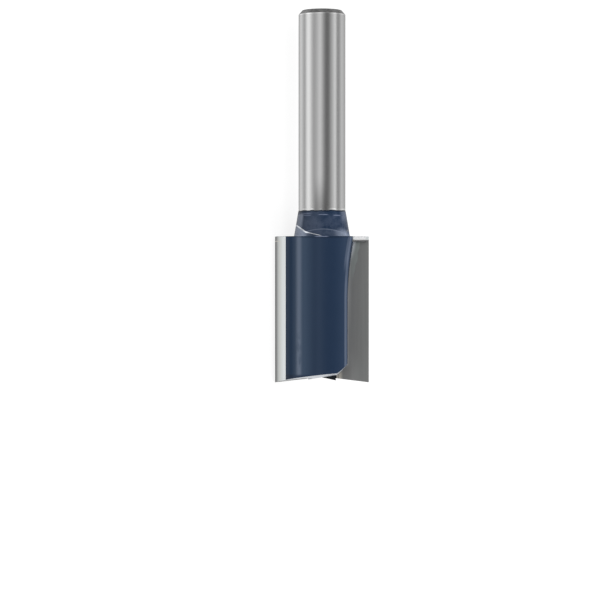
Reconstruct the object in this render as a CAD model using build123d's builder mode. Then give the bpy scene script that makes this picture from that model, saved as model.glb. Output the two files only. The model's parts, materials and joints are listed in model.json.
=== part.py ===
from build123d import *
from math import acos, asin, cos, degrees, radians, sin, sqrt, tan
import os

os.makedirs("parts", exist_ok=True)

# Two-flute straight router bit, right-hand cutting. Lengths in millimetres, angles in degrees.

# Shank, a plain ground pin with a chamfered end
shank_diameter = 6.35
shank_length = 27.15
shank_chamfer_radial = 0.5
shank_chamfer_axial = 0.57

# Neck, a short cone that widens from the shank to the head
neck_length = 3.4
neck_top_diameter = 6.44
neck_root_diameter = 7.6
neck_root_fillet = 0.2

# Head, two wings that each run from a cutting edge round to a heel
cutting_diameter = 12.7
cutting_length = 19.05
shoulder_height = 0.7
lobe_clearance = 0.63
radial_relief_angle = 8.0
ground_band_angle = 33.0
heel_angle = 126.5

# Flutes, milled by an angled disc cutter that lifts out of the steel below the neck
hook_angle = 7.0
web_thickness = 2.2
flute_root_radius = 0.55
flute_cutter_diameter = 39.0
flute_cutter_sweep = 60.0
flute_straight_length = 11.15

# End of the head: each wing's end face rises to the centre and to its own heel
dish_angle = 6.0
end_relief_angle = 6.2
heel_start = 1.95
heel_depth = 1.0
heel_run = 1.9
heel_rise = 1.6
heel_arc_radius = 5.4

# Carbide tips in their brazed seats
tip_width = 4.4
tip_thickness = 1.8
braze_thickness = 0.1
seat_mill_depth = 1.25

# Spare length that cutting shapes reach past the steel, and the error allowed in a worked-out point
overcut = 1.0
rounding = 1e-6

cutting_radius = cutting_diameter / 2
lobe_radius = cutting_radius - lobe_clearance
head_length = cutting_length + shoulder_height
shank_start = head_length + neck_length
overall_length = shank_start + shank_length


def polar(radius, angle):
    return Vector(radius * cos(radians(angle)), radius * sin(radians(angle)))


def crossing(start, direction, other_start, other_direction):
    """Point where two lines in the section plane cross."""
    gap = other_start - start
    along = gap.cross(other_direction).Z / direction.cross(other_direction).Z
    return start + direction * along


# Section lines of one flute. The cutting edge that it serves lies on +X, and the heel of the
# other wing closes the flute on its far side.
cutting_edge = Vector(cutting_radius, 0)
rake_direction = polar(1, -hook_angle)
heel_point = polar(lobe_radius, heel_angle - 180)
wall_angle = heel_angle - 180 - degrees(asin(web_thickness / 2 / lobe_radius))
wall_direction = polar(1, wall_angle)
flute_root = crossing(cutting_edge, rake_direction, heel_point, wall_direction)
flute_middle_angle = (wall_angle - hook_angle) / 2


def lifted(point):
    """Where a point of the flute's section has gone at the top of the head, as the cutter lifts."""
    lift_direction = polar(1, flute_middle_angle)
    cutting_depth = flute_cutter_diameter / 2 - (point - flute_root).dot(lift_direction)
    rise = head_length - flute_straight_length
    return point + lift_direction * (cutting_depth - sqrt(cutting_depth**2 - rise**2))


def shoulder_corner(side_direction, is_outside):
    """Point along one side of the lifted flute where it leaves the steel."""
    inner, outer = 0.0, cutting_radius
    while outer - inner > rounding:
        middle = (inner + outer) / 2
        if is_outside(lifted(flute_root + side_direction * middle)):
            outer = middle
        else:
            inner = middle
    return lifted(flute_root + side_direction * inner)


# The bit lies on its side with one flute down, on the two corners of that flute at the top of the
# head. The line through them is level, so it sets the turn of the section and the axis height.
flank_angle = degrees(acos(lobe_radius / cutting_radius))
flank_normal = polar(1, -flank_angle)
heel_corner_up = shoulder_corner(wall_direction, lambda point: point.length > lobe_radius)
edge_corner_up = shoulder_corner(rake_direction, lambda point: point.dot(flank_normal) > lobe_radius)
rest_line = (edge_corner_up - heel_corner_up).normalized()
axis_height = heel_corner_up.cross(rest_line).Z
up_in_section = Vector(rest_line.Y, -rest_line.X)

# The shank points along -X and the cutting end along +X, with the middle of the length at X = 0
section_x = Vector(0, -up_in_section.Y, up_in_section.X)
bit_plane = Plane(
    origin=(overall_length / 2, 0, axis_height),
    x_dir=section_x,
    z_dir=(-1, 0, 0),
)
bit_axis = Axis(bit_plane.origin, bit_plane.z_dir)
wing_planes = {
    "front": bit_plane,
    "back": Plane(origin=bit_plane.origin, x_dir=-bit_plane.x_dir, z_dir=bit_plane.z_dir),
}


def direction(plane, x, y, z):
    return plane.x_dir * x + plane.y_dir * y + plane.z_dir * z


def place(plane, x, y, z):
    return plane.origin + direction(plane, x, y, z)


def blank_outline():
    """Outline of the two wings before the flutes are milled, each with a cam-shaped flank."""
    for turn in (0, 180):
        band_end = polar(lobe_radius, turn + ground_band_angle)
        TangentArc(
            polar(cutting_radius, turn),
            band_end,
            tangent=polar(1, turn + 90 + radial_relief_angle),
        )
        lobe_end_angle = 180 - flank_angle
        CenterArc((0, 0), lobe_radius, turn + ground_band_angle, lobe_end_angle - ground_band_angle)
        Line(polar(lobe_radius, turn + lobe_end_angle), polar(cutting_radius, turn + 180))


def head_blank():
    """Solid of both wings before milling, from below the end faces to the top of the head."""
    with BuildSketch(bit_plane.offset(-overcut)) as blank:
        with BuildLine():
            blank_outline()
        make_face()
    extrude(blank.sketch, amount=head_length + overcut)


def flute_outline():
    """V section of one flute with a rounded root, open well past the cutting circle."""
    reach = cutting_diameter
    rake_end = flute_root + rake_direction * reach
    wall_end = flute_root + wall_direction * reach
    FilletPolyline(rake_end, flute_root, wall_end, radius=flute_root_radius)
    Line(wall_end, rake_end)


def seat_plane(wing_plane, height):
    """Plane across the bit at a height, from the cutting edge: X out along the rake face, Y back."""
    return Plane(
        origin=place(wing_plane, cutting_radius, 0, height),
        x_dir=direction(wing_plane, rake_direction.X, rake_direction.Y, 0),
        z_dir=wing_plane.z_dir,
    )


def seat_block(wing_plane, width, front, back, height, mode):
    """Block on one wing's seat, from past the cutting circle inwards and up to a height."""
    with BuildSketch(seat_plane(wing_plane, -overcut)) as block:
        with Locations((overcut, front)):
            Rectangle(width + overcut, back - front, align=(Align.MAX, Align.MIN))
    extrude(block.sketch, amount=height + overcut, mode=mode)


def grind_end(wing_plane):
    """Grind one wing's end face and, beyond heel_start, the lower corner of its heel."""
    dish = tan(radians(dish_angle))
    relief = tan(radians(end_relief_angle))

    def on_end_face(x, y):
        return place(wing_plane, x, y, (cutting_radius - x) * dish + y * relief)

    # The face ends at the line that parts it from the other wing's face
    part_line = polar(1, flute_middle_angle)
    end_plane = Plane(
        origin=on_end_face(0, 0),
        x_dir=on_end_face(part_line.X, part_line.Y) - on_end_face(0, 0),
        z_dir=direction(wing_plane, dish, -relief, 1),
    )
    with BuildSketch(end_plane) as end_face:
        Rectangle(2 * cutting_diameter, 2 * cutting_diameter, align=(Align.CENTER, Align.MIN))
    extrude(end_face.sketch, amount=cutting_radius, dir=-wing_plane.z_dir, mode=Mode.SUBTRACT)

    heel_plane = Plane(
        origin=on_end_face(-heel_start, heel_depth),
        x_dir=direction(wing_plane, -1 - relief**2, -dish * relief, dish),
        z_dir=direction(wing_plane, 0, 1, relief),
    )
    with BuildSketch(heel_plane) as heel_corner:
        with BuildLine():
            RadiusArc((0, 0), (heel_run, heel_rise), -heel_arc_radius)
            Polyline((heel_run, heel_rise), (heel_run, -overcut), (0, -overcut), (0, 0))
        make_face()
    extrude(heel_corner.sketch, amount=cutting_radius, mode=Mode.SUBTRACT)


# Body: turned shank and neck, then the milled head
profile_plane = Plane(
    origin=bit_plane.origin,
    x_dir=bit_plane.x_dir,
    z_dir=bit_plane.y_dir * -1,
)
core_radius = neck_root_diameter / 2 + neck_root_fillet
neck_root = (neck_root_diameter / 2, head_length)

with BuildPart() as bit_body:
    head_blank()

    with BuildSketch(profile_plane) as turned:
        with BuildLine():
            Polyline(
                (0, head_length - overcut),
                (core_radius, head_length - overcut),
                (core_radius, head_length),
                neck_root,
                (neck_top_diameter / 2, shank_start),
                (shank_diameter / 2, shank_start),
                (shank_diameter / 2, overall_length - shank_chamfer_axial),
                (shank_diameter / 2 - shank_chamfer_radial, overall_length),
                (0, overall_length),
                close=True,
            )
        make_face()
        fillet(turned.vertices().sort_by_distance(neck_root)[0], radius=neck_root_fillet)
    revolve(axis=bit_axis)

    for wing_plane in wing_planes.values():
        with BuildSketch(wing_plane.offset(flute_straight_length)) as flute:
            with BuildLine():
                flute_outline()
            make_face()
        cutter_middle = flute_root + polar(flute_cutter_diameter / 2, flute_middle_angle)
        cutter_direction = polar(1, flute_middle_angle + 90)
        cutter_axis = Axis(
            place(wing_plane, cutter_middle.X, cutter_middle.Y, flute_straight_length),
            direction(wing_plane, cutter_direction.X, cutter_direction.Y, 0),
        )
        revolve(flute.sketch, axis=cutter_axis, revolution_arc=flute_cutter_sweep, mode=Mode.SUBTRACT)
        extrude(amount=-flute_straight_length - overcut, mode=Mode.SUBTRACT)

        seat_block(
            wing_plane,
            tip_width + braze_thickness,
            -seat_mill_depth,
            tip_thickness + braze_thickness,
            cutting_length + braze_thickness,
            Mode.SUBTRACT,
        )
        grind_end(wing_plane)

bit_body.part.label = "bit_body"
export_step(bit_body.part, "parts/bit_body.step")

# Carbide tips, ground to the cutting circle and to the end face together with the steel
for side, wing_plane in wing_planes.items():
    with BuildPart() as carbide_tip:
        head_blank()
        seat_block(wing_plane, tip_width, 0, tip_thickness, cutting_length, Mode.INTERSECT)
        grind_end(wing_plane)
    carbide_tip.part.label = "carbide_tip_" + side
    export_step(carbide_tip.part, "parts/" + carbide_tip.part.label + ".step")

    # Braze between the tip and its seat: behind it, at its inner edge and above it
    with BuildPart() as braze_seam:
        head_blank()
        seat_block(
            wing_plane,
            tip_width + braze_thickness,
            0,
            tip_thickness + braze_thickness,
            cutting_length + braze_thickness,
            Mode.INTERSECT,
        )
        seat_block(wing_plane, tip_width, -overcut, tip_thickness, cutting_length, Mode.SUBTRACT)
        grind_end(wing_plane)
    braze_seam.part.label = "braze_seam_" + side
    export_step(braze_seam.part, "parts/" + braze_seam.part.label + ".step")
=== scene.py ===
"""Two-flute straight router bit: finishes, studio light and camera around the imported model."""

import json
import math

import bpy
from mathutils import Matrix, Vector


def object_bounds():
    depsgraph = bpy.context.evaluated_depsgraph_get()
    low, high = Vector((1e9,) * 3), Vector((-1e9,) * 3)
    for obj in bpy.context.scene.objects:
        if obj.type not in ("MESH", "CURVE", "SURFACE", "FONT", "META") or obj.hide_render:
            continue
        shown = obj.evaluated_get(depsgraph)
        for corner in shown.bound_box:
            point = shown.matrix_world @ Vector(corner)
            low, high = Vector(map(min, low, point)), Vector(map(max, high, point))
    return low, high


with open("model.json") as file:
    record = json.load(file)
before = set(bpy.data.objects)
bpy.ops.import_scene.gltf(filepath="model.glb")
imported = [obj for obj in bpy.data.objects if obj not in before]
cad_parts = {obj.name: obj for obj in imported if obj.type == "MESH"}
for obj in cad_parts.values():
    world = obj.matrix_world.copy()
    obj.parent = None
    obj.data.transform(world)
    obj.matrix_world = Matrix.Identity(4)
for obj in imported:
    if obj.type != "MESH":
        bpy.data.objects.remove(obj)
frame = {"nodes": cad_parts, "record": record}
cad_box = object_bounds()

MM = 0.001

# The bit's own frame: x across the front cutting edge, y away from the camera, z up the shank.
# The bit lies on its side, turned about its axis by section_turn.
section_turn = math.radians(60.377)
shank_mount = frame["record"]["mounts"][0]
axis_height = shank_mount["pos_m"][2]
length = cad_box[1][0] - cad_box[0][0]
section_x = Vector((0, math.cos(section_turn), math.sin(section_turn)))
section_y = Vector((0, math.sin(section_turn), -math.cos(section_turn)))
section_z = Vector((-1, 0, 0))
cutting_end = Vector((length / 2, 0, axis_height))

# The bit's features: heights from the cutting end and radii in millimetres, angles in degrees
tip_top = 19.05
shoulder_height = 0.7
neck_length = 3.4
neck_paint_lap = 0.1
shank_chamfer = 0.57
lobe_radius = 5.72
ground_band_angle = 33.0
band_paint_lap = 1.4
heel_angle = 126.5
flute_root = Vector((0.900, 0.669))
flute_middle_angle = -35.8
flute_wall_angle = -64.6
flute_straight_length = 11.15
flute_cutter_radius = 19.5

head_top = tip_top + shoulder_height
paint_top = head_top + neck_length + neck_paint_lap
chamfer_start = length / MM - shank_chamfer
band_paint_angle = ground_band_angle - band_paint_lap


def place(x, y, z):
    """Point given in the bit's own frame, in millimetres."""
    return cutting_end + (section_x * x + section_y * y + section_z * z) * MM


def polar(angle):
    """Direction at an angle in the section plane."""
    return Vector((math.cos(math.radians(angle)), math.sin(math.radians(angle))))


def grey(level):
    return (level, level, level, 1)


# Node helpers


class Graph:
    """Short calls that add shader nodes to one tree and return their output sockets."""

    def __init__(self, tree):
        self.tree = tree
        tree.nodes.clear()

    def node(self, kind, inputs=(), **settings):
        made = self.tree.nodes.new(kind)
        for name, value in settings.items():
            setattr(made, name, value)
        for name, value in dict(inputs).items():
            self.put(made.inputs[name], value)
        return made

    def put(self, socket, value):
        if isinstance(value, bpy.types.NodeSocket):
            self.tree.links.new(value, socket)
        else:
            socket.default_value = value

    def finish(self, kind, shader):
        """Output node of the tree, fed by a shader node."""
        self.node(kind, {"Surface": shader.outputs[0]})

    def math(self, operation, *values):
        made = self.node("ShaderNodeMath", operation=operation)
        for socket, value in zip(made.inputs, values):
            self.put(socket, value)
        return made.outputs[0]

    def vector(self, operation, *values):
        made = self.node("ShaderNodeVectorMath", operation=operation)
        for socket, value in zip(made.inputs, values):
            self.put(socket, value)
        return made.outputs["Value" if operation in ("DOT_PRODUCT", "LENGTH") else "Vector"]

    def step(self, value, start, end):
        """0 below start and 1 above end, with a smooth rise between them."""
        made = self.node(
            "ShaderNodeMapRange",
            {"Value": value, "From Min": start, "From Max": end},
            interpolation_type="SMOOTHSTEP",
        )
        return made.outputs["Result"]

    def without(self, mask):
        return self.math("SUBTRACT", 1.0, mask)

    def fall(self, value, start, end):
        """1 below start and 0 above end, with a smooth fall between them."""
        return self.without(self.step(value, start, end))

    def line(self, value, middle, half_width, flat=None):
        """1 out to the flat half width from the middle value, falling to 0 at half_width.

        The flat part is half of half_width where it isn't given.
        """
        away = self.math("ABSOLUTE", self.math("SUBTRACT", value, middle))
        return self.fall(away, half_width / 2 if flat is None else flat, half_width)

    def both(self, *masks):
        """Product of masks, and of a strength where one is given with them."""
        product = masks[0]
        for mask in masks[1:]:
            product = self.math("MULTIPLY", product, mask)
        return product

    def either(self, *masks):
        """Largest of the masks."""
        largest = masks[0]
        for mask in masks[1:]:
            largest = self.math("MAXIMUM", largest, mask)
        return largest

    def mix(self, factor, first, second):
        """Colour between two colours."""
        made = self.node("ShaderNodeMix", data_type="RGBA")
        self.put(made.inputs[0], factor)
        self.put(made.inputs[6], first)
        self.put(made.inputs[7], second)
        return made.outputs[2]

    def mix_value(self, factor, first, second):
        made = self.node("ShaderNodeMix", data_type="FLOAT")
        self.put(made.inputs[0], factor)
        self.put(made.inputs[2], first)
        self.put(made.inputs[3], second)
        return made.outputs[0]

    def over(self, base, colour, *masks):
        """Base colour with another laid over it, as strongly as the product of the masks."""
        return self.mix(self.both(*masks), base, colour)

    def noise(self, position, scale, detail=2.0, stretch=(1, 1, 1)):
        """Noise between 0 and 1 at a scale in cells per millimetre along each stretched axis."""
        stretched = self.vector("MULTIPLY", position, stretch)
        made = self.node("ShaderNodeTexNoise", {"Vector": stretched, "Scale": scale, "Detail": detail})
        return made.outputs["Fac"]

    def shift(self, noise, size):
        """Noise as a shift of up to half the size to either side."""
        return self.math("MULTIPLY", self.math("SUBTRACT", noise, 0.5), size)

    def bump(self, height, distance, strength):
        """Normal of a relief: height runs from 0 to 1 over a distance in millimetres."""
        relief = {"Height": height, "Distance": distance * MM, "Strength": strength}
        return self.node("ShaderNodeBump", relief).outputs[0]


class BitPlaces:
    """Sockets that say where a shaded point is, in the bit's own frame, in millimetres."""

    def __init__(self, graph):
        position = graph.node("ShaderNodeTexCoord").outputs["Object"]
        from_end = graph.vector("SUBTRACT", position, cutting_end)
        self.x = graph.vector("DOT_PRODUCT", from_end, section_x / MM)
        self.y = graph.vector("DOT_PRODUCT", from_end, section_y / MM)
        self.z = graph.vector("DOT_PRODUCT", from_end, section_z / MM)
        places = {"X": self.x, "Y": self.y, "Z": self.z}
        self.point = graph.node("ShaderNodeCombineXYZ", places).outputs[0]
        across = graph.node("ShaderNodeCombineXYZ", {"X": self.x, "Y": self.y}).outputs[0]
        self.radius = graph.vector("LENGTH", across)

        # The section has two equal halves, so both are folded on to the half with positive y
        half = graph.math("SIGN", self.y)
        self.folded_x = graph.math("MULTIPLY", self.x, half)
        self.folded_y = graph.math("MULTIPLY", self.y, half)
        turn = graph.math("ARCTAN2", self.folded_y, self.folded_x)
        self.angle = graph.math("DEGREES", turn)

        # How far the surface faces the cutting end, and away from the axis
        true_normal = graph.node("ShaderNodeNewGeometry").outputs["True Normal"]
        normal = graph.node(
            "ShaderNodeVectorTransform",
            {"Vector": true_normal},
            vector_type="NORMAL",
            convert_from="WORLD",
            convert_to="OBJECT",
        ).outputs[0]
        self.facing_end = graph.vector("DOT_PRODUCT", normal, -section_z)
        along_x = graph.math("MULTIPLY", graph.vector("DOT_PRODUCT", normal, section_x), self.x)
        along_y = graph.math("MULTIPLY", graph.vector("DOT_PRODUCT", normal, section_y), self.y)
        self.facing_out = graph.math("DIVIDE", graph.math("ADD", along_x, along_y), self.radius)
        self.past_wall = self.beyond_flute_wall(graph)

    def beyond_flute_wall(self, graph):
        """Distance from the flute's wall, below 0 in the steel. The wall lifts out to the neck."""
        wall_normal = polar(flute_wall_angle + 90)
        rise = graph.math("MAXIMUM", graph.math("SUBTRACT", self.z, flute_straight_length), 0.0)
        reach = graph.math("SUBTRACT", flute_cutter_radius**2, graph.math("MULTIPLY", rise, rise))
        lift = graph.math("SUBTRACT", flute_cutter_radius, graph.math("SQRT", reach))
        lift_across = graph.math("MULTIPLY", lift, polar(flute_middle_angle).dot(wall_normal))
        across_x = graph.math("MULTIPLY", self.folded_x, -wall_normal.x)
        across_y = graph.math("MULTIPLY", self.folded_y, -wall_normal.y)
        from_axis = graph.math("ADD", across_x, across_y)
        from_root = graph.math("SUBTRACT", from_axis, flute_root.dot(wall_normal))
        return graph.math("SUBTRACT", from_root, lift_across)


def new_material(name):
    made = bpy.data.materials.new(name)
    made.use_nodes = True
    return made, Graph(made.node_tree)


def finish_surface(graph, **inputs):
    """Principled surface, with each input named as on the shader."""
    shader = graph.node("ShaderNodeBsdfPrincipled")
    for name, value in inputs.items():
        graph.put(shader.inputs[name.replace("_", " ")], value)
    graph.finish("ShaderNodeOutputMaterial", shader)


# Colours of the body

navy = (0.0150, 0.0305, 0.064, 1)
navy_light = (0.0180, 0.035, 0.074, 1)
navy_pale = (0.17, 0.20, 0.29, 1)
navy_blue = (0.0145, 0.041, 0.095, 1)
navy_deep = (0.003, 0.006, 0.012, 1)
highlight_lilac = (0.50, 0.57, 0.72, 1)
broad_highlight_blue = (0.22, 0.32, 0.46, 1)
paint_gloss_tint = (0.65, 0.80, 1.0, 1)
corner_light = grey(0.6)
corner_shade_black = grey(0.004)

shank_steel = grey(0.60)
shank_streak_steel = grey(0.45)
# Painted glint above the paint's end
glint_above_paint_steel = grey(0.85)
# Grey of the darker patch on the shank
shank_dark_grey = grey(0.17)
# Painted dark reflection on the chamfer
chamfer_dark_reflection = grey(0.19)
chamfer_lighter_reflection = grey(0.3)
chamfer_rim_steel = grey(0.9)
band_steel = (0.83, 0.862, 0.85, 1)
# Painted shade at the cutting edge and painted light towards the paint, across the ground band
band_shade_at_edge = grey(0.08)
band_light_at_paint = (0.95, 0.99, 1.0, 1)
# Pale steel of the painted highlight line on the neck
highlight_line_steel = (0.66, 0.69, 0.74, 1)
end_steel = (0.78, 0.82, 0.88, 1)
# Painted reflection on the shoulder's faces
shoulder_white_reflection = grey(1.0)
# Painted shade at the shoulder's foot
shoulder_foot_shade = grey(0.2)
# Painted shade along the heel edge
heel_edge_shade = (0.045, 0.058, 0.08, 1)

# Edges of the body's areas. Each pair is where a mask starts to change and where it is done.

paint_edge = (paint_top - 0.01, paint_top + 0.02)
paint_edge_wave = 0.3
neck_foot = (head_top + 0.01, head_top + 0.03)
neck_end = (paint_top - 0.2, paint_top)
head_edge = (head_top - 0.03, head_top - 0.015)
lobe_surface = (lobe_radius - 0.06, lobe_radius - 0.04)
lobe_foot = (1.0, 1.4)
band_surface = (lobe_radius - 0.15, lobe_radius - 0.1)
band_paint_edge = (band_paint_angle - 0.25, band_paint_angle + 0.25)
band_dark_edge = (0.0, 25.0)
band_bright_edge = (21.0, 28.0)
shoulder_side = (heel_angle + 8, heel_angle + 10)
shoulder_foot = (tip_top - 0.05, tip_top)
shoulder_foot_top = (tip_top + 0.22, tip_top + 0.28)
heel_edge_half_width = 0.09
turned_to_end = (0.45, 0.55)
turned_outwards = (0.5, 0.7)


class BodyAreas:
    """Masks, 1 inside and 0 outside, of the body's areas that each have their own finish."""

    def __init__(self, graph, at):
        # The paint stops at the shank along a slightly wavy line
        self.wander = graph.noise(at.point, scale=0.9, stretch=(1, 1, 0))
        self.wavy_z = graph.math("SUBTRACT", at.z, graph.shift(self.wander, paint_edge_wave))
        self.shank = graph.step(self.wavy_z, *paint_edge)
        self.neck = graph.both(graph.step(at.z, *neck_foot), graph.fall(at.z, *neck_end))

        on_head = graph.fall(at.z, *head_edge)
        on_lobe = graph.step(at.radius, *lobe_surface)
        self.lobe = graph.both(on_lobe, graph.step(at.z, *lobe_foot))
        band = graph.both(
            graph.fall(at.angle, *band_paint_edge),
            graph.step(at.radius, *band_surface),
            on_head,
        )
        self.shoulder = graph.both(
            graph.step(at.angle, *shoulder_side),
            graph.step(at.z, *shoulder_foot),
            on_head,
        )
        end = graph.step(at.facing_end, *turned_to_end)
        # A thin dark line of painted shade runs along the heel edge
        heel_edge = graph.both(graph.line(at.past_wall, 0.0, heel_edge_half_width), on_lobe, on_head)
        self.ground = graph.either(band, self.shoulder, end)
        self.heel_edge = graph.both(heel_edge, graph.without(self.ground))
        self.bare = graph.either(self.shank, self.ground, heel_edge)


# Painted highlights on the neck, alike on both halves. A pale line of bare steel, a painted highlight,
# climbs to the side in two straight runs, each with its slope and its height on the axis. A pale arc
# of painted highlight lies low across the middle.

highlight_line_runs = ((0.24, 0.04), (0.76, -1.13))
highlight_line_half_widths = (0.025, 0.09)
highlight_line_thickens = (1.7, 2.2)
highlight_line_starts = (0.0, 0.4)
highlight_line_softness = 0.04
arc_top = 0.96
arc_shift = 0.1
arc_bend = 0.066
arc_half_width = 0.08
under_mark = (-0.1, 0.0)
side_of_arc = (1.2, 3.2)
paleness_under_arc = (0.04, 0.52)
paleness_on_arc = (0.2, 0.5)
under_line_side = (1.6, 2.8)
over_arc = (0.0, 0.8)
over_arc_side = (-3.2, -1.6)
over_arc_paleness = 0.4


def neck_highlights(graph, at, areas):
    """Masks of the painted highlight line and of the paler paint on the neck, which is painted
    highlight.
    """
    above_head = graph.math("SUBTRACT", at.z, head_top)
    runs = [graph.math("MULTIPLY_ADD", at.folded_x, slope, foot) for slope, foot in highlight_line_runs]
    above_line = graph.math("SUBTRACT", above_head, graph.either(*runs))
    half_width = graph.mix_value(graph.step(at.folded_x, *highlight_line_thickens), *highlight_line_half_widths)
    soft_half_width = graph.math("ADD", half_width, highlight_line_softness)
    on_line = graph.fall(graph.math("ABSOLUTE", above_line), half_width, soft_half_width)
    highlight_line = graph.both(on_line, areas.neck, graph.step(at.folded_x, *highlight_line_starts))

    from_arc_top = graph.math("ADD", at.folded_x, arc_shift)
    arc_height = graph.math("SUBTRACT", arc_top, graph.both(from_arc_top, from_arc_top, arc_bend))
    above_arc = graph.math("SUBTRACT", above_head, arc_height)
    to_the_side = graph.step(graph.math("ABSOLUTE", at.folded_x), *side_of_arc)
    under_line = graph.both(
        graph.fall(above_line, *under_mark),
        graph.step(at.folded_x, *under_line_side),
    )
    under_arc = graph.both(
        graph.fall(above_arc, *under_mark),
        graph.mix_value(to_the_side, *paleness_under_arc),
    )
    on_arc = graph.both(
        graph.line(above_arc, 0.0, arc_half_width),
        graph.mix_value(to_the_side, *paleness_on_arc),
    )
    beside_arc = graph.both(
        graph.fall(above_arc, *over_arc),
        graph.fall(at.folded_x, *over_arc_side),
        over_arc_paleness,
    )
    neck_sheen = graph.either(under_line, under_arc, on_arc, beside_arc, *neck_patches(graph, at))
    return highlight_line, graph.both(neck_sheen, areas.neck)


# Three soft patches of painted highlight on the neck: near the cutting edge, near the other one, and a
# wide one

side_patch_foot = (20.6, 21.2)
side_patch_top = (22.6, 22.9)
side_patch_paleness = 0.60
back_patch_foot = (21.0, 22.4)
back_patch_paleness = 0.13
wide_patch_side = (-0.5, 1.0)
wide_patch_foot = (20.2, 20.9)
wide_patch_paleness = 0.065


def neck_patches(graph, at):
    side_patch = graph.both(
        graph.line(at.angle, middle=22.0, half_width=24.0),
        graph.step(at.z, *side_patch_foot),
        graph.fall(at.z, *side_patch_top),
        side_patch_paleness,
    )
    back_patch = graph.both(
        graph.line(at.angle, middle=164.0, half_width=30.0),
        graph.step(at.z, *back_patch_foot),
        back_patch_paleness,
    )
    wide_patch = graph.both(
        graph.step(at.folded_x, *wide_patch_side),
        graph.step(at.z, *wide_patch_foot),
        wide_patch_paleness,
    )
    return side_patch, back_patch, wide_patch


# Paint on the lobes: bluer beside the band, with painted highlights as pale streaks along the bit. Two
# of them lie at an angle from the cutting edge, and two at a distance from the heel.

beside_band_edge = (42.0, 56.0)
highlight_breakup = (0.3, 0.6)
highlight_breakup_top = (4.0, 9.0)
broken_highlight_least = 0.55
broken_highlight_range = 0.6
heel_highlight_fade = (13.0, 16.0)
heel_highlight_upper_level = 0.6
heel_highlight_haze_foot = (14.5, 17.0)


def lobe_paint(graph, at, areas, paint):
    breakup = graph.step(graph.noise(at.point, scale=1.6, stretch=(1, 1, 0.5)), *highlight_breakup)
    broken_highlight = graph.math("MULTIPLY_ADD", breakup, broken_highlight_range, broken_highlight_least)
    highlight_streak = graph.both(
        graph.line(at.angle, middle=56.7, half_width=6.6, flat=0.5),
        graph.mix_value(graph.step(at.z, *highlight_breakup_top), broken_highlight, 1.0),
    )
    heel_highlight = graph.both(
        graph.line(at.past_wall, middle=-0.36, half_width=0.23),
        graph.mix_value(graph.step(at.z, *heel_highlight_fade), 1.0, heel_highlight_upper_level),
    )
    heel_highlight_haze = graph.both(
        graph.line(at.past_wall, middle=-0.55, half_width=0.42),
        graph.step(at.z, *heel_highlight_haze_foot),
    )
    # Painted highlights on the lobes, laid over the bluer paint beside the band
    layers = (
        (navy_blue, graph.fall(at.angle, *beside_band_edge), 1.0),
        (broad_highlight_blue, graph.line(at.angle, middle=62.0, half_width=20.0, flat=2.0), 0.165),
        (highlight_lilac, highlight_streak, 0.20),
        (highlight_lilac, heel_highlight, 0.14),
        (highlight_lilac, heel_highlight_haze, 0.10),
    )
    for colour, mask, strength in layers:
        paint = graph.over(paint, colour, mask, areas.lobe, strength)
    return paint


# Painted shade darkens the rim at the top of each lobe, deepest in the middle of the lobe, with a thin
# painted glint

rim_half_width = 4.6
rim_side_depth = 0.12
rim_dip = 0.26
rim_full_share = 0.6
rim_surface = (lobe_radius - 0.1, lobe_radius - 0.05)
rim_shade_strength = 0.3


def rim_shade_and_glint(graph, at, paint):
    across = graph.math("MULTIPLY", at.x, 1 / rim_half_width)
    across_squared = graph.math("MULTIPLY", across, across)
    depth = graph.math("MULTIPLY_ADD", across_squared, -rim_dip, rim_dip + rim_side_depth)
    below_top = graph.math("SUBTRACT", head_top, at.z)
    rim_shade = graph.both(
        graph.fall(below_top, graph.both(depth, rim_full_share), depth),
        graph.step(at.radius, *rim_surface),
    )
    glint = graph.both(
        graph.line(at.x, middle=-0.1, half_width=1.1),
        graph.line(below_top, middle=0.06, half_width=0.07),
        rim_shade,
    )
    # Painted shade along the rim, then the painted glint on it
    paint = graph.over(paint, navy_deep, rim_shade, rim_shade_strength)
    return graph.over(paint, navy_pale, glint)


# Painted shade: the flutes are darker towards their roots, and the small corner at the end is nearly
# black on one side. On the other side that corner is pale.

flute_root_reach = (1.6, 3.0)
flute_root_shade_strength = 0.8
corner_top = (2.0, 2.2)
corner_reach = (2.3, 2.6)
corner_turned_to_end = (0.3, 0.4)
corner_split = (-0.1, 0.1)


def flute_paint(graph, at, corner, paint):
    # Painted shade towards the flute's roots, and nearly black in one side of the end corner
    paint = graph.over(paint, navy_deep, graph.fall(at.radius, *flute_root_reach), flute_root_shade_strength)
    corner_paint = graph.mix(graph.step(at.x, *corner_split), corner_light, corner_shade_black)
    return graph.over(paint, corner_paint, corner)


def end_corner(graph, at):
    """Mask of the small corner that each flute leaves at the end."""
    return graph.both(
        graph.fall(at.z, *corner_top),
        graph.fall(at.radius, *corner_reach),
        graph.fall(at.facing_end, *corner_turned_to_end),
    )


# Turned rings show through the paint at the top of the neck. Each glint on them has its depth
# below the paint's end, its place across and its half width.

ring_radians_per_millimetre = 26.0
rings_foot = (paint_top - 0.75, paint_top - 0.35)
rings_top = (paint_top - 0.05, paint_top)
ring_glints = (
    (0.45, -2.4, 1.1),
    (0.69, -2.0, 0.6),
    (0.59, 0.12, 0.8),
    (0.68, 2.0, 0.6),
)
ring_glint_half_height = 0.08
ring_glint_strength = 0.85
paint_end_depth = 0.08
paint_end_half_width = 0.12
paint_end_strength = 0.7


def ring_relief(graph, at):
    below_paint_top = graph.math("SUBTRACT", paint_top, at.z)
    return graph.both(
        graph.math("SINE", graph.math("MULTIPLY", below_paint_top, ring_radians_per_millimetre)),
        graph.fall(at.z, *rings_top),
        graph.step(at.z, *rings_foot),
    )


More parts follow.
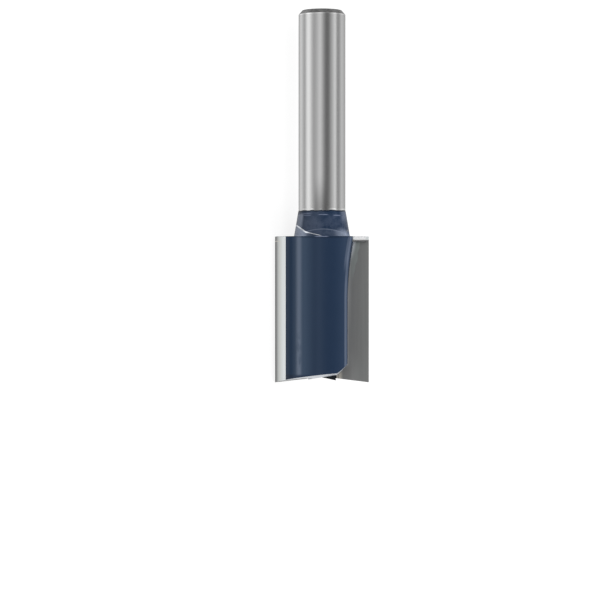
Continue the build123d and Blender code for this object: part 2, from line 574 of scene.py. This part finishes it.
def neck_top_paint(graph, at, areas, paint):
    glints = [
        graph.both(
            graph.line(at.z, paint_top - depth, ring_glint_half_height),
            graph.line(at.x, across, half_width),
        )
        for depth, across, half_width in ring_glints
    ]
    paint_end = graph.line(areas.wavy_z, paint_top - paint_end_depth, paint_end_half_width)
    paint = graph.over(paint, navy_pale, graph.either(*glints), ring_glint_strength)
    return graph.over(paint, navy_deep, paint_end, paint_end_strength)


def band_colour(graph, at):
    """Colour of the ground band behind a cutting edge: painted shade, darkest at the edge itself, and
    painted light towards the paint.
    """
    steel = graph.mix(graph.step(at.angle, *band_dark_edge), band_shade_at_edge, band_steel)
    return graph.mix(graph.step(at.angle, *band_bright_edge), steel, band_light_at_paint)


# Bare steel: the ground faces of the head, some with painted shade, light and reflection, and the
# shank with its streaks, a darker patch, a painted glint by the paint and a chamfer painted dark as a
# reflection

shank_streak_strength = 0.2
glint_beside_paint = 0.13
glint_gaps = (0.42, 0.6)
dark_patch_side = (-2.5, -2.0)
dark_patch_top = (paint_top, paint_top + 5.0)
dark_patch_strength = 0.6
chamfer_foot = (chamfer_start - 0.01, chamfer_start + 0.01)
chamfer_turned_to_end = (-0.9, -0.85)
chamfer_mottle = (0.35, 0.65)
chamfer_rim_depth = 0.07
chamfer_rim_half_width = 0.1
chamfer_rim_strength = 0.5


def head_steel(graph, at, areas):
    # The shoulder's faces are white, a painted reflection
    faces = graph.mix(areas.shoulder, end_steel, shoulder_white_reflection)
    steel = graph.mix(graph.step(at.facing_out, *turned_outwards), faces, band_colour(graph, at))
    # Painted shade at the foot of the shoulder, just above the tip
    at_foot = graph.fall(at.z, *shoulder_foot_top)
    return graph.over(steel, shoulder_foot_shade, areas.shoulder, at_foot)


def body_steel(graph, at, areas):
    steel = graph.mix(areas.ground, shank_steel, head_steel(graph, at, areas))
    streaks = graph.noise(at.point, scale=4.0, detail=3.0, stretch=(1, 1, 0.02))
    steel = graph.over(steel, shank_streak_steel, streaks, shank_streak_strength)
    # Painted glint: a bright line on the steel just above the paint's end, broken by gaps
    glint_above_paint_mask = graph.both(
        graph.line(areas.wavy_z, paint_top + glint_beside_paint, glint_beside_paint),
        graph.step(areas.wander, *glint_gaps),
    )
    steel = graph.over(steel, glint_above_paint_steel, glint_above_paint_mask)

    # A darker patch runs up one side of the shank from the paint
    shank_dark_patch = graph.both(
        graph.line(at.x, middle=-0.25, half_width=1.1, flat=0.5),
        graph.fall(at.y, *dark_patch_side),
        graph.fall(at.z, *dark_patch_top),
        areas.shank,
    )
    steel = graph.over(steel, shank_dark_grey, shank_dark_patch, dark_patch_strength)

    # Painted reflection: the chamfer is painted dark, as it mirrors darker surroundings, with a mottle
    mottle = graph.step(graph.noise(at.point, scale=1.5), *chamfer_mottle)
    chamfer = graph.both(
        graph.step(at.z, *chamfer_foot),
        graph.step(at.facing_end, *chamfer_turned_to_end),
    )
    chamfer_rim = graph.line(at.z, chamfer_start - chamfer_rim_depth, chamfer_rim_half_width)
    steel = graph.over(steel, graph.mix(mottle, chamfer_dark_reflection, chamfer_lighter_reflection), chamfer)
    steel = graph.over(steel, chamfer_rim_steel, chamfer_rim, chamfer_rim_strength)
    # Painted shade: a dark line along the heel edge
    return graph.over(steel, heel_edge_shade, areas.heel_edge)


# Finish of the body: blue paint, and bright ground steel where the paint stops or is ground away

cloud_strength = 0.6
patch_edge = (0.35, 0.65)
patch_strength = 0.15
shank_roughness = 0.25
band_roughness = 0.42
paint_roughness = 0.14
neck_roughness = 0.25
fine_roughness = 0.05
ring_relief_share = 0.6
cloud_relief_share = 0.5
shank_relief_share = 0.3
body_relief = 0.012
paint_gloss = 0.30
dull_gloss = 0.15


def body_finish():
    made, graph = new_material("blue_paint_and_ground_steel")
    at = BitPlaces(graph)
    areas = BodyAreas(graph, at)
    highlight_line, neck_sheen = neck_highlights(graph, at, areas)
    corner = end_corner(graph, at)

    cloudy = graph.noise(at.point, scale=0.5)
    patchy = graph.step(graph.noise(at.point, scale=1.1), *patch_edge)
    paint = graph.over(navy, navy_light, cloudy, cloud_strength)
    paint = graph.over(paint, navy_pale, patchy, areas.neck, patch_strength)
    # Painted highlights on the neck: the pale arc, the paler paint by the line and the pale patches
    paint = graph.over(paint, highlight_lilac, neck_sheen)
    paint = lobe_paint(graph, at, areas, paint)
    paint = rim_shade_and_glint(graph, at, paint)
    paint = flute_paint(graph, at, corner, paint)
    paint = neck_top_paint(graph, at, areas, paint)
    colour = graph.mix(areas.bare, paint, body_steel(graph, at, areas))
    # Painted highlight: the pale bare line along the foot of the neck
    colour = graph.mix(highlight_line, colour, highlight_line_steel)

    # The faces of the shoulder that don't turn outwards are matt and pale, not metal: a painted
    # reflection of bright surroundings
    bare = graph.either(areas.bare, highlight_line)
    white_reflection_face = graph.both(areas.shoulder, graph.fall(at.facing_out, *turned_outwards))
    fine = graph.noise(at.point, scale=6.0, detail=4.0)
    smooth = graph.mix_value(areas.neck, paint_roughness, neck_roughness)
    roughness_of_paint = graph.math("MULTIPLY_ADD", fine, fine_roughness, smooth)
    roughness_of_steel = graph.mix_value(areas.ground, shank_roughness, band_roughness)

    # Turned rings and a slight unevenness stand in the paint, and grinding lines go round the shank
    around = graph.noise(at.point, scale=5.0, detail=3.0, stretch=(0.05, 0.05, 4))
    cloud_relief = graph.math("MULTIPLY", cloudy, cloud_relief_share)
    relief = graph.math("MULTIPLY_ADD", ring_relief(graph, at), ring_relief_share, cloud_relief)
    relief = graph.mix_value(areas.shank, relief, graph.math("MULTIPLY", around, shank_relief_share))
    finish_surface(
        graph,
        Base_Color=colour,
        Metallic=graph.both(bare, graph.without(white_reflection_face)),
        Roughness=graph.mix_value(bare, roughness_of_paint, roughness_of_steel),
        Specular_Tint=graph.mix(bare, paint_gloss_tint, grey(1.0)),
        Specular_IOR_Level=graph.mix_value(graph.either(corner, areas.neck), paint_gloss, dull_gloss),
        Normal=graph.bump(relief, body_relief, strength=0.6),
    )
    return made


# Finish of the carbide tips: a ground grey rake face, and a brighter band behind the cutting edge with
# the band's painted shade and light

carbide_dark = (0.17, 0.17, 0.168, 1)
carbide_light = (0.25, 0.25, 0.246, 1)
carbide_cloud = (0.20, 0.22, 0.22, 1)
carbide_cloud_strength = 0.4
carbide_roughness = 0.42
carbide_roughness_range = 0.1
carbide_metal = 0.4
carbide_relief = 0.004

# Painted reflection on the rake face: a grey-blue part and a white part
reflection_grey = (0.28, 0.32, 0.31, 1)
reflection_white = (0.75, 0.79, 0.82, 1)
reflection_start = 15.0
reflection_foot = 4.45
reflection_lean = 0.2
reflection_wander = 0.8
reflection_edge = (-0.05, 0.12)
reflection_fade = (reflection_start - 2, reflection_start + 0.5)
reflection_strength = 0.7
white_reflection_edge = (0.45, 1.0)
white_reflection_fade = (15.8, 18.0)

stripe_yellow = (0.60, 0.57, 0.50, 1)
stripe_turned_to_end = (0.3, 0.5)
stripe_top = (1.1, 1.7)
stripe_reach = (2.4, 2.9)
stripe_gaps = (0.40, 0.55)
stripe_strength = 0.8


def reflected_on_face(graph, at, face, across_face):
    """Painted reflection across the top inner corner of the rake face, brightest beside the flute."""
    height = graph.math("MULTIPLY", graph.math("SUBTRACT", at.z, reflection_start), reflection_lean)
    inside = graph.math("SUBTRACT", height, graph.math("SUBTRACT", across_face, reflection_foot))
    wander = graph.shift(graph.noise(at.point, scale=0.7), reflection_wander)
    reflection_mask = graph.both(
        graph.step(graph.math("ADD", inside, wander), *reflection_edge),
        graph.step(at.z, *reflection_fade),
    )
    white_reflection_mask = graph.both(
        graph.step(inside, *white_reflection_edge),
        graph.step(at.z, *white_reflection_fade),
    )
    face = graph.over(face, reflection_grey, reflection_mask, reflection_strength)
    return graph.over(face, reflection_white, white_reflection_mask)


def striped(graph, at, face, across_face):
    """Pale stripes at the corner of the end."""
    grain = graph.noise(at.point, scale=4.0, detail=1.0, stretch=(1, 1, 0.03))
    stripes = graph.both(
        graph.fall(at.facing_end, *stripe_turned_to_end),
        graph.fall(at.z, *stripe_top),
        graph.fall(across_face, *stripe_reach),
        graph.step(grain, *stripe_gaps),
    )
    return graph.over(face, stripe_yellow, stripes, stripe_strength)


def carbide_finish():
    made, graph = new_material("ground_carbide")
    at = BitPlaces(graph)
    across_face = graph.math("ABSOLUTE", at.x)
    along = graph.noise(at.point, scale=3.0, detail=3.0, stretch=(1, 1, 0.03))
    cloudy = graph.noise(at.point, scale=0.35)
    face = graph.mix(along, carbide_dark, carbide_light)
    face = graph.over(face, carbide_cloud, cloudy, carbide_cloud_strength)
    # Painted reflection on the top inner corner of the rake face
    face = reflected_on_face(graph, at, face, across_face)

    # Painted light makes the face a little brighter beside the flute and the heel, and the face is
    # darker at its lower corner.
    # Each layer has its edge across the face, the mask of its heights, its grey and its strength.
    above_end = graph.step(at.z, 4.0, 14.0)
    at_end = graph.fall(at.z, 1.5, 3.5)
    above_heel_corner = graph.step(at.z, 2.1, 2.7)
    layers = (
        ((3.4, 5.4), 1.0, 0.30, 0.5),
        ((3.7, 4.05), above_end, 0.55, 0.3),
        ((3.4, 4.6), at_end, 0.12, 0.45),
        ((3.52, 3.62), above_heel_corner, 0.55, 0.7),
    )
    for edge, heights, level, strength in layers:
        face = graph.over(face, grey(level), graph.fall(across_face, *edge), heights, strength)
    face = striped(graph, at, face, across_face)

    # Behind the cutting edge the tip is ground up to the steel, and takes the band's painted shade and
    # light
    behind_edge = graph.step(at.facing_out, *turned_outwards)
    roughness = graph.math("MULTIPLY_ADD", along, carbide_roughness_range, carbide_roughness)
    finish_surface(
        graph,
        Base_Color=graph.mix(behind_edge, face, band_colour(graph, at)),
        Metallic=graph.mix_value(behind_edge, carbide_metal, 1.0),
        Roughness=graph.mix_value(behind_edge, roughness, band_roughness),
        Normal=graph.bump(along, carbide_relief, strength=0.4),
    )
    return made


# Finish of the braze: silver, black with painted shade in the flute's corner, and a dark seam above
# the tip

braze_dark = (0.56, 0.54, 0.48, 1)
braze_light = (0.70, 0.68, 0.63, 1)
braze_seam = grey(0.25)
braze_corner_shade = grey(0.02)
braze_corner_reach = (2.1, 2.3)
braze_seam_foot = (tip_top - 0.03, tip_top)
braze_seam_reach = (2.4, 2.6)
braze_relief = 0.01


def braze_finish():
    made, graph = new_material("silver_braze")
    at = BitPlaces(graph)
    speckle = graph.noise(at.point, scale=5.0, detail=3.0)
    silver = graph.mix(speckle, braze_dark, braze_light)
    seam = graph.both(
        graph.step(at.z, *braze_seam_foot),
        graph.step(at.radius, *braze_seam_reach),
        graph.fall(at.facing_out, *turned_outwards),
    )
    silver = graph.over(silver, braze_seam, seam)
    # Painted shade: the braze is black in the flute's corner
    finish_surface(
        graph,
        Base_Color=graph.over(silver, braze_corner_shade, graph.fall(at.radius, *braze_corner_reach)),
        Metallic=graph.without(seam),
        Roughness=0.4,
        Normal=graph.bump(speckle, braze_relief, strength=0.5),
    )
    return made


finishes = {
    "body_steel": body_finish(),
    "carbide": carbide_finish(),
    "braze": braze_finish(),
}
slots = {part["node"]: part["material_slot"] for part in frame["record"]["subparts"]}
for name, node in frame["nodes"].items():
    node.data.materials.clear()
    node.data.materials.append(finishes[slots[name]])


# Camera at the photograph's viewing angle, with the shank's end up in the picture

camera_distance = 300.0
camera_height = 15.066
camera_left = 2.976
camera_dip = math.radians(0.746)
picture_width = 600
focal_length_in_pixels = 2214.0
sensor_width = 36.0


def add_object(name, data):
    made = bpy.data.objects.new(name, data)
    bpy.context.scene.collection.objects.link(made)
    return made


def add_camera():
    data = bpy.data.cameras.new("camera")
    data.sensor_width = sensor_width
    data.lens = focal_length_in_pixels / picture_width * sensor_width
    camera = add_object("camera", data)
    looking = section_y * math.cos(camera_dip) - section_z * math.sin(camera_dip)
    turn = Matrix((section_x, section_x.cross(looking), -looking)).transposed()
    standpoint = place(-camera_left, -camera_distance, camera_height)
    camera.matrix_world = Matrix.Translation(standpoint) @ turn.to_4x4()
    bpy.context.scene.camera = camera


def background_rays(graph, rays):
    """1 for rays that show the background: from the camera, also through glass."""
    return graph.either(rays["Is Camera Ray"], rays["Is Transmission Ray"])


# Floor: pale, nearly white to the camera, with the bit's faint shadow. Metal doesn't mirror it.

floor_half_width = 1.5
floor_lit_share = 0.24
floor_glow = 0.83


def add_floor():
    corners = [
        (side * floor_half_width, end * floor_half_width, 0)
        for side, end in ((-1, -1), (1, -1), (1, 1), (-1, 1))
    ]
    mesh = bpy.data.meshes.new("floor")
    mesh.from_pydata(corners, [], [(0, 1, 2, 3)])
    floor_material, graph = new_material("pale_floor")
    rays = graph.node("ShaderNodeLightPath").outputs
    strength = graph.math("MULTIPLY", background_rays(graph, rays), floor_glow)
    lit = graph.node("ShaderNodeBsdfDiffuse", {"Color": grey(floor_lit_share)})
    glow = graph.node("ShaderNodeEmission", {"Color": grey(1.0), "Strength": strength})
    total = graph.node("ShaderNodeAddShader")
    graph.put(total.inputs[0], lit.outputs[0])
    graph.put(total.inputs[1], glow.outputs[0])
    graph.finish("ShaderNodeOutputMaterial", total)
    mesh.materials.append(floor_material)
    floor = add_object("floor", mesh)
    floor.visible_glossy = False


# Studio: white to the camera, an even soft light, and for reflections the bright and dark bands
# of strip lights that run along the bit. Angles go round the bit's axis from the photo's side.

strip_bands = (
    (-180, 1.0),
    (-168, 0.42),
    (-150, 0.60),
    (-125, 1.08),
    (-104, 0.66),
    (-94, 0.40),
    (-85, 0.95),
    (-76, 1.35),
    (-66, 1.40),
    (-60, 1.10),
    (-52, 0.76),
    (-42, 0.46),
    (-26, 0.66),
    (-14, 0.96),
    (-6, 1.0),
    (4, 0.52),
    (18, 0.17),
    (32, 0.17),
    (44, 0.50),
    (58, 0.82),
    (65, 1.16),
    (71, 1.16),
    (77, 0.36),
    (90, 0.36),
    (110, 0.88),
    (140, 0.58),
    (168, 0.50),
    (180, 1.0),
)
brightest_band = 4.0
shank_end_light = 0.55
shank_end_edge = (0.6, 0.85)
soft_light = 0.6


def strip_light(graph, direction):
    """Light that a shiny surface mirrors from a direction."""
    towards_right = graph.vector("DOT_PRODUCT", direction, section_x)
    towards_camera = graph.vector("DOT_PRODUCT", direction, -section_y)
    turn = graph.math("ARCTAN2", towards_right, towards_camera)
    share_of_turn = graph.math("MULTIPLY_ADD", turn, 1 / (2 * math.pi), 0.5)
    ramp = graph.node("ShaderNodeValToRGB", {"Fac": share_of_turn})
    stops = ramp.color_ramp.elements
    for angle, _ in strip_bands[1:-1]:
        stops.new((angle + 180) / 360)
    for stop, (_, level) in zip(stops, strip_bands):
        stop.color = grey(level / brightest_band)
    levels = graph.node("ShaderNodeSeparateColor", {"Color": ramp.outputs[0]}).outputs[0]
    bands = graph.math("MULTIPLY", levels, brightest_band)
    towards_shank_end = graph.vector("DOT_PRODUCT", direction, section_z)
    at_shank_end = graph.step(towards_shank_end, *shank_end_edge)
    return graph.mix_value(at_shank_end, bands, shank_end_light)


def add_studio():
    world = bpy.data.worlds.new("studio")
    world.use_nodes = True
    bpy.context.scene.world = world
    graph = Graph(world.node_tree)
    direction = graph.node("ShaderNodeTexCoord").outputs["Generated"]
    rays = graph.node("ShaderNodeLightPath").outputs
    level = graph.mix_value(rays["Is Glossy Ray"], soft_light, strip_light(graph, direction))
    level = graph.mix_value(background_rays(graph, rays), level, 1.0)
    background = graph.node("ShaderNodeBackground", {"Color": grey(1.0), "Strength": level})
    graph.finish("ShaderNodeOutputWorld", background)


def add_soft_lamp(name, standpoint, size, power):
    """Square lamp in world millimetres, aimed at the bit, that metal doesn't mirror."""
    data = bpy.data.lights.new(name, "AREA")
    data.size = size * MM
    data.energy = power
    lamp = add_object(name, data)
    lamp.location = Vector(standpoint) * MM
    lamp.rotation_euler = (-lamp.location).to_track_quat("-Z", "Y").to_euler()
    lamp.visible_glossy = False


add_camera()
add_floor()
add_studio()
add_soft_lamp("key_lamp", standpoint=(-150, -350, 450), size=350, power=1.6)
add_soft_lamp("fill_lamp", standpoint=(250, 200, 400), size=400, power=0.8)
bpy.context.scene.view_settings.view_transform = "Standard"
